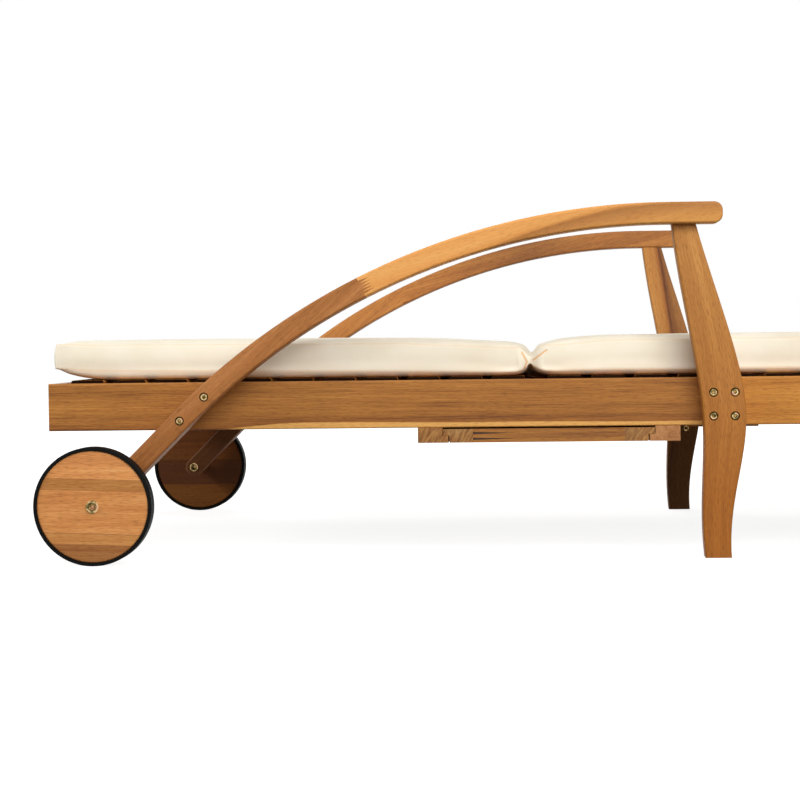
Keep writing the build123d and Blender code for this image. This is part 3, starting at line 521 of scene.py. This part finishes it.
# Cushions
# One long box cushion on each side: a top panel, a side band and a bottom panel of cream canvas
# over foam, sewn edge to edge, with a sewn fold over the hip hinge where the two panels are
# drawn together and the side band is tucked into a bow. On the real lounger the fold lets the back
# section rise; here the cover is one fixed shape.

# Sizes in millimetres
cushion_outer, cushion_inner = -524.5, -4.0
width = cushion_inner - cushion_outer
fold_x = -190.5
slat_level = 300.3
full_height, band_height = 62.0, 65.0
swell = 4.5
top_lip, lip_reach = 3.0, 46.0
bottom_lip, head_lip = 8.0, 6.0
tuck_depth = 70.0
waist_depth, tuck_inward, tuck_reach = 4.0, 13.0, 11.0
band_bulge = 3.5
corner_radius = 26.0
# The side view as measured: distance along, underside and top
side_view = [
    (-983, 301.5, 366.4), (-966, 302.0, 367.6), (-945, 301.6, 367.2), (-910, 300.3, 366.8),
    (-575, 300.3, 366.0), (-407, 300.3, 364.4), (-323, 300.3, 359.6), (-291, 300.3, 357.4),
    (-241, 300.3, 354.0), (-215, 301.0, 353.0), (-204, 304.5, 352.4), (-197, 311.0, 348.0),
    (-193, 317.5, 338.0), (-190.5, 320.5, 331.0), (-188, 317.5, 337.0), (-184, 312.5, 347.0),
    (-177, 306.5, 353.6), (-165, 301.5, 356.4), (-140, 300.3, 358.6), (-89, 300.3, 363.6),
    (-39, 300.3, 366.2), (257, 300.3, 367.4), (700, 300.3, 367.0), (990, 300.3, 365.4),
]
table = np.array(side_view)
# The rows of quads: (from, to, how many) along the cushion, then the steps across it
runs = [(-983, -940, 8), (-940, -860, 6), (-860, -300, 26), (-300, -215, 8), (-215, -166, 16),
        (-166, -80, 8), (-80, 900, 44), (900, 960, 5), (960, 990, 7)]
along = np.concatenate([np.linspace(a, b, n, endpoint=False) for a, b, n in runs] + [[990.0]])
edge_steps = [0.0, 3.0, 7.0, 13.0, 24.0, 46.0]
middle_steps = np.linspace(76.0, width - 76.0, 16)
across = np.array(edge_steps + list(middle_steps) + [width - s for s in reversed(edge_steps)])
band_rows = 6


def rise(distance, reach, power):
    """How far a panel has risen from its seam, from 0 at the seam to 1."""
    return 1 - (1 - np.clip(distance / reach, 0, 1)) ** power


def cushion_point(i, j, k):
    """Where one point of the stuffed cover lies, in metres; k counts up the side band."""
    x, from_side = along[i], across[j]
    low, high = np.interp(x, table[:, 0], table[:, 1]), np.interp(x, table[:, 0], table[:, 2])
    side, end = min(from_side, width - from_side), min(x - along[0], along[-1] - x)
    # 1 where the band stands at its full height, less where the fold draws it together
    slack = min(1.0, (high - low) / full_height) ** 1.5
    high -= swell * slack
    # The lower seam climbs from the middle of the lounger towards its head
    lift = bottom_lip + head_lip * min(1.0, max(0.0, (-350 - x) / 560))
    outward = 0.0
    if k == band_rows:
        crown = rise(side, lip_reach, 2.4) * rise(end, lip_reach, 2.4)
        z = high - top_lip * slack * (1 - crown)
    elif k == 0:
        # The panel is drawn up only near its edges; further in it lies flat on the slats
        flat = low
        if low > slat_level:
            flat = slat_level + (low - slat_level) * math.exp(-(side / tuck_depth) ** 2)
        z = flat + lift * slack * (1 - rise(side, 16, 2.2) * rise(end, 95, 3.0))
    else:
        base = low + lift * slack
        z = base + (high - top_lip * slack - base) * k / band_rows
        outward = band_bulge * math.sin(math.pi * k / band_rows) * (high - low) / band_height
    # Each section is narrower at its middle, and again where the band is tucked in at the fold
    section_start, section_end = (along[0], fold_x) if x < fold_x else (fold_x, along[-1])
    waist = waist_depth * math.sin(math.pi * (x - section_start) / (section_end - section_start))
    tuck = tuck_inward * math.exp(-((x - fold_x) / tuck_reach) ** 2)
    y = cushion_outer + from_side
    middle = (cushion_outer + cushion_inner) / 2
    y = middle + (y - middle) * (1 - 2 * (waist + tuck) / width)
    if side < corner_radius and end < corner_radius:
        u, v = 1 - end / corner_radius, 1 - side / corner_radius
        round_u, round_v = u * math.sqrt(1 - v * v / 2), v * math.sqrt(1 - u * u / 2)
        x += math.copysign((round_u - u) * corner_radius, x - fold_x)
        y += math.copysign((round_v - v) * corner_radius, y - middle)
    if outward and side == 0:
        y += math.copysign(outward, y - middle)
    if outward and end == 0:
        x += math.copysign(outward, x - fold_x)
    return x / 1000, y / 1000, z / 1000


def sewn_cover(name):
    """The cover as a closed lattice of quads: two panels and the band that joins them."""
    points, index, faces = [], {}, []
    last_i, last_j, top = len(along) - 1, len(across) - 1, band_rows

    def quad(*corners):
        for spot in corners:
            if spot not in index:
                index[spot] = len(points)
                points.append(cushion_point(*spot))
        faces.append([index[spot] for spot in corners])

    for i in range(last_i):
        for j in range(last_j):
            quad((i, j, top), (i + 1, j, top), (i + 1, j + 1, top), (i, j + 1, top))
            quad((i, j, 0), (i, j + 1, 0), (i + 1, j + 1, 0), (i + 1, j, 0))
    for k in range(band_rows):
        for i in range(last_i):
            quad((i, 0, k), (i + 1, 0, k), (i + 1, 0, k + 1), (i, 0, k + 1))
            quad((i, last_j, k), (i, last_j, k + 1), (i + 1, last_j, k + 1), (i + 1, last_j, k))
        for j in range(last_j):
            quad((0, j, k), (0, j, k + 1), (0, j + 1, k + 1), (0, j + 1, k))
            quad((last_i, j, k), (last_i, j + 1, k), (last_i, j + 1, k + 1), (last_i, j, k + 1))
    mesh = bpy.data.meshes.new(name)
    mesh.from_pydata(points, [], faces)
    mesh.update()
    seams = {tuple(sorted((index[a], index[b]))) for k in (0, top) for a, b in (
        [((i, j, k), (i + 1, j, k)) for i in range(last_i) for j in (0, last_j)]
        + [((i, j, k), (i, j + 1, k)) for j in range(last_j) for i in (0, last_i)])}
    seam_crease = 0.55
    crease = mesh.attributes.new("crease_edge", "FLOAT", "EDGE")
    for edge in mesh.edges:
        sewn = tuple(sorted(edge.vertices)) in seams
        crease.data[edge.index].value = seam_crease if sewn else 0.0
    # 0 at the lower seam and 1 at the upper one, going on over the panels at 60 mm to 1
    height = mesh.attributes.new("band_height", "FLOAT", "POINT")
    for (i, j, k), number in index.items():
        side = min(across[j], width - across[j], along[i] - along[0], along[-1] - along[i])
        beyond = {top: side / 60, 0: -side / 60}.get(k, 0.0)
        height.data[number].value = k / band_rows + beyond
    for polygon in mesh.polygons:
        polygon.use_smooth = True
    cover = bpy.data.objects.new(name, mesh)
    bpy.context.scene.collection.objects.link(cover)
    # The fold is sewn fast, and the underside is held down a little
    held = cover.vertex_groups.new(name="sewn")
    fold = int(np.argmin(abs(along - fold_x)))
    held.add([n for (i, j, k), n in index.items() if i == fold], 1.0, "REPLACE")
    held.add([n for (i, j, k), n in index.items() if i != fold and k == 0], 0.4, "REPLACE")
    return cover


def stuff(cover):
    """Blow the cover up as its foam does: cloth under pressure, moved by the swell at most."""
    frames = 20
    sewn = np.array([v.co for v in cover.data.vertices])
    cloth = cover.modifiers.new("stuffing", "CLOTH")
    cloth.settings.quality = 6
    cloth.settings.use_pressure = True
    cloth.settings.uniform_pressure_force = 4.0
    cloth.settings.tension_stiffness = 30.0
    cloth.settings.compression_stiffness = 30.0
    cloth.settings.bending_stiffness = 2.0
    cloth.settings.vertex_group_mass = "sewn"
    cloth.settings.effector_weights.gravity = 0.0
    cloth.point_cache.frame_end = frames
    for step in range(1, frames + 1):
        bpy.context.scene.frame_set(step)
    blown = cover.evaluated_get(bpy.context.evaluated_depsgraph_get()).data
    filled = np.array([v.co for v in blown.vertices])
    cover.modifiers.remove(cloth)
    bpy.context.scene.frame_set(1)
    move = filled - sewn
    far = np.linalg.norm(move, axis=1, keepdims=True)
    stuffed = sewn + move * np.minimum(1.0, swell / 1000 / np.maximum(far, 1e-9))
    cover.data.vertices.foreach_set("co", stuffed.ravel())


# Woven canvas: a dull warm cream with a fine weave, slightly cloudy, and no highlight
canvas = bpy.data.materials.new("woven_cream_canvas")
canvas.use_nodes = True
tree = canvas.node_tree
sewn_place = add(tree, "Attribute", attribute_name="sewn_place").outputs["Vector"]
band = add(tree, "Attribute", attribute_name="band_height").outputs["Fac"]
# The real threads are 0.5 mm apart; they are drawn 3 mm apart so that the weave shows at all
thread_step = 0.003
warp_x, weft_y, weft_z = add(tree, "SeparateXYZ", {0: sewn_place}).outputs
threads = []
for spot in (warp_x, add(tree, "Math", {0: weft_y, 1: weft_z}, operation="ADD").outputs[0]):
    phase = add(tree, "Math", {0: spot, 1: 2 * math.pi / thread_step}, operation="MULTIPLY").outputs[0]
    threads.append(add(tree, "Math", {0: phase}, operation="SINE").outputs[0])
weave = add(tree, "Math", {0: threads[0], 1: threads[1]}, operation="MULTIPLY").outputs[0]
slubs = add(tree, "TexNoise", {"Vector": sewn_place, "Scale": 14.0, "Detail": 3.0}).outputs[0]
cream = add(tree, "ValToRGB", {0: slubs}, stops=[
    (0.3, "#ece3ce"), (0.5, "#f0e9d6"), (0.7, "#f3eddd")]).outputs[0]
hollows = add(tree, "Math", {0: weave, 1: 0.06, 2: 0.06}, operation="MULTIPLY_ADD").outputs[0]
cream = add(tree, "Mix", {0: hollows, 6: cream, 7: linear("#e2d5ba")}, data_type="RGBA").outputs[2]
# The seams at the foot and the top of the side band are peach
for seam in (0.0, 1.0):
    off = add(tree, "Math", {0: band, 1: seam}, operation="SUBTRACT").outputs[0]
    off = add(tree, "Math", {0: off}, operation="ABSOLUTE").outputs[0]
    thread = add(tree, "MapRange", {0: off, 1: 0.01, 2: 0.05, 3: 0.35, 4: 0.0}).outputs[0]
    cream = add(tree, "Mix", {0: thread, 6: cream, 7: linear("#e8bf93")}, data_type="RGBA").outputs[2]


def tuck_line(start, end):
    """How far a point of the side view is from one tuck of the fold, in metres."""
    a, b = (Vector((x, 0.0, z)) / 1000 for x, z in (start, end))
    flat = add(tree, "VectorMath", {0: sewn_place, 1: (1.0, 0.0, 1.0)}, operation="MULTIPLY").outputs[0]
    from_a = add(tree, "VectorMath", {0: flat, 1: a}, operation="SUBTRACT").outputs[0]
    share = add(tree, "VectorMath", {0: from_a, 1: (b - a) / (b - a).length_squared},
                operation="DOT_PRODUCT").outputs["Value"]
    share = add(tree, "Math", {0: share, 1: 1.0}, operation="MULTIPLY", use_clamp=True).outputs[0]
    foot = add(tree, "VectorMath", {0: b - a, "Scale": share}, operation="SCALE").outputs[0]
    return add(tree, "VectorMath", {0: from_a, 1: foot}, operation="DISTANCE").outputs["Value"]


# Tucks as (distance along, height) in millimetres: a crooked one on the back section and a long
# slanting one on the seat section, painted peach as glow through the folded layers and crease shade
tuck_width = 0.0023
tucks = 0.0
for start, end in (((-203.7, 338.5), (-195.5, 322.5)), ((-195.5, 322.5), (-200.0, 312.0)),
                   ((-185.5, 325.5), (-163.5, 342.0))):
    groove = add(tree, "MapRange", {0: tuck_line(start, end), 1: 0.0, 2: tuck_width,
                                    3: 0.9, 4: 0.0}).outputs[0]
    tucks = add(tree, "Math", {0: tucks, 1: groove}, operation="MAXIMUM").outputs[0]
# Painted glow and shade in the tucks
cream = add(tree, "Mix", {0: tucks, 6: cream, 7: linear("#ebae66")}, data_type="RGBA").outputs[2]
surface = tree.nodes["Principled BSDF"]
tree.links.new(cream, surface.inputs["Base Color"])
# The tucks are hollows, far deeper than the weave
relief = add(tree, "Math", {0: tucks, 1: -4.0}, operation="MULTIPLY").outputs[0]
relief = add(tree, "Math", {0: weave, 1: 0.2, 2: relief}, operation="MULTIPLY_ADD").outputs[0]
tree.links.new(add(tree, "Bump", {"Strength": 0.35, "Distance": 0.0008,
                                  "Height": relief}).outputs[0], surface.inputs["Normal"])
tree.links.new(add(tree, "Math", {0: weave, 1: 0.04, 2: 0.86}, operation="MULTIPLY_ADD").outputs[0],
               surface.inputs["Roughness"])
surface.inputs["IOR"].default_value = 1.45
surface.inputs["Sheen Weight"].default_value = 0.05
surface.inputs["Sheen Roughness"].default_value = 0.5

cushion_near = sewn_cover("cushion_near")
stuff(cushion_near)
# The stuffed cover rests on the slats, and stays off the arm and the lounger's middle plane
rest = np.array([v.co for v in cushion_near.data.vertices])
slat_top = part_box("seat_slats")[1].z + 0.0003
arm_side, middle_side = -0.534, -0.0006
rest[:, 2] = np.maximum(rest[:, 2], slat_top)
rest[:, 1] = np.clip(rest[:, 1], arm_side, middle_side)
cushion_near.data.vertices.foreach_set("co", rest.ravel())
cushion_near.vertex_groups.clear()
mirrored = cushion_near.data.copy()
mirrored.vertices.foreach_set("co", (rest * np.array([1.0, -1.0, 1.0])).ravel())
mirrored.flip_normals()
cushion_far = bpy.data.objects.new("cushion_far", mirrored)
bpy.context.scene.collection.objects.link(cushion_far)
for cushion, side in ((cushion_near, "near"), (cushion_far, "far")):
    cushion.data.materials.append(canvas)
    places = cushion.data.attributes.new("sewn_place", "FLOAT_VECTOR", "POINT")
    places.data.foreach_set("vector", np.array([v.co for v in cushion.data.vertices]).ravel())
    smooth = cushion.modifiers.new("smooth_canvas", "SUBSURF")
    smooth.levels = smooth.render_levels = 1
    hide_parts(f"back_cushion_{side}", f"seat_cushion_{side}")
    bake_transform(cushion)


# Studio
# A plain white floor and surround that take the lounger's soft shadow, one soft box far out on
# the left, a weaker one on the right, a large one in front and one behind for the far side.

floor_radius, floor_sides = 14, 64
floor_mesh = bpy.data.meshes.new("floor")
shape = bmesh.new()
rim = [shape.verts.new((floor_radius * math.cos(a), floor_radius * math.sin(a), 0.0))
       for a in (math.tau * i / floor_sides for i in range(floor_sides))]
shape.faces.new(rim)
shape.to_mesh(floor_mesh)
shape.free()
floor = bpy.data.objects.new("floor", floor_mesh)
bpy.context.scene.collection.objects.link(floor)


def seen_itself(tree):
    """1 where the floor or the surround itself is seen, 0 where it only lights the lounger."""
    rays = add(tree, "LightPath").outputs
    seen = 0.0
    for ray in ("Is Camera Ray", "Is Glossy Ray", "Is Transmission Ray"):
        seen = add(tree, "Math", {0: seen, 1: rays[ray]}, operation="MAXIMUM").outputs[0]
    return seen


white_floor = bpy.data.materials.new("matt_white_floor")
white_floor.use_nodes = True
tree = white_floor.node_tree
tree.nodes.remove(tree.nodes["Principled BSDF"])
lit = add(tree, "BsdfDiffuse", {"Color": linear("#a0a0a0")}).outputs[0]
# Far from the lounger the floor needs no lamp to be white, so that it meets the surround unseen
from_middle = add(tree, "VectorMath", {0: add(tree, "TexCoord").outputs["Object"]},
                  operation="LENGTH").outputs["Value"]
own_light = add(tree, "MapRange", {0: from_middle, 1: 1.4, 2: 3.0, 3: 0.90, 4: 1.0},
                interpolation_type="SMOOTHSTEP").outputs[0]
own_light = add(tree, "Emission", {"Strength": own_light}).outputs[0]
glow = add(tree, "AddShader", {0: lit, 1: own_light}).outputs[0]
dull = add(tree, "BsdfDiffuse", {"Color": linear("#5c5a56")}).outputs[0]
both = add(tree, "MixShader", {0: seen_itself(tree), 1: dull, 2: glow}).outputs[0]
tree.links.new(both, tree.nodes["Material Output"].inputs["Surface"])
floor_mesh.materials.append(white_floor)

world = bpy.data.worlds.new("white_surround")
bpy.context.scene.world = world
world.use_nodes = True
tree = world.node_tree
seen = seen_itself(tree)
strength = add(tree, "MapRange", {0: seen, 3: 0.22, 4: 1.0}).outputs[0]
tint = add(tree, "Mix", {0: seen, 6: linear("#fff2e0"), 7: linear("#ffffff")},
           data_type="RGBA").outputs[2]
tree.links.new(strength, tree.nodes["Background"].inputs["Strength"])
tree.links.new(tint, tree.nodes["Background"].inputs["Color"])


def soft_box(name, place, aim, size, watts):
    """A square studio lamp that looks at one point."""
    lamp = bpy.data.lights.new(name, "AREA")
    lamp.size = size
    lamp.energy = watts
    holder = bpy.data.objects.new(name, lamp)
    holder.location = place
    holder.rotation_euler = (Vector(aim) - Vector(place)).to_track_quat("-Z", "Y").to_euler()
    bpy.context.scene.collection.objects.link(holder)


soft_box("key_lamp", (-7.2, -3.6, 3.8), (0.0, -0.4, 0.2), 1.7, 185)
soft_box("fill_lamp", (5.2, -4.6, 3.6), (0.2, -0.4, 0.2), 2.4, 60)
soft_box("front_lamp", (1.4, -5.4, 3.6), (0.0, -0.4, 0.2), 4.2, 380)
soft_box("rear_lamp", (-1.0, 6.0, 4.6), (0.0, 0.4, 0.2), 3.4, 170)


# Camera
# A long lens a little above the cushions and nearly square on to the lounger's side. Its place
# and turn come from the fit to the near and far arms, wheels and feet.

camera_data = bpy.data.cameras.new("camera")
camera_data.sensor_width = 36.0
camera_data.lens = 115.2
camera_data.clip_start, camera_data.clip_end = 0.1, 60.0
camera = bpy.data.objects.new("camera", camera_data)
camera_place = (-0.1783, -4.7994, 0.3705)
yaw, pitch, roll = (math.radians(angle) for angle in (3.081, 1.457, -0.670))
forward = Vector((-math.sin(yaw) * math.cos(pitch), math.cos(yaw) * math.cos(pitch),
                  -math.sin(pitch)))
level = Vector((math.cos(yaw), math.sin(yaw), 0.0))
upright = level.cross(forward)
right = math.cos(roll) * level + math.sin(roll) * upright
up = -math.sin(roll) * level + math.cos(roll) * upright
camera.matrix_world = Matrix.Translation(camera_place) @ Matrix(
    (right, up, -forward)).transposed().to_4x4()
bpy.context.scene.collection.objects.link(camera)
bpy.context.scene.camera = camera
bpy.context.scene.view_settings.view_transform = "Standard"
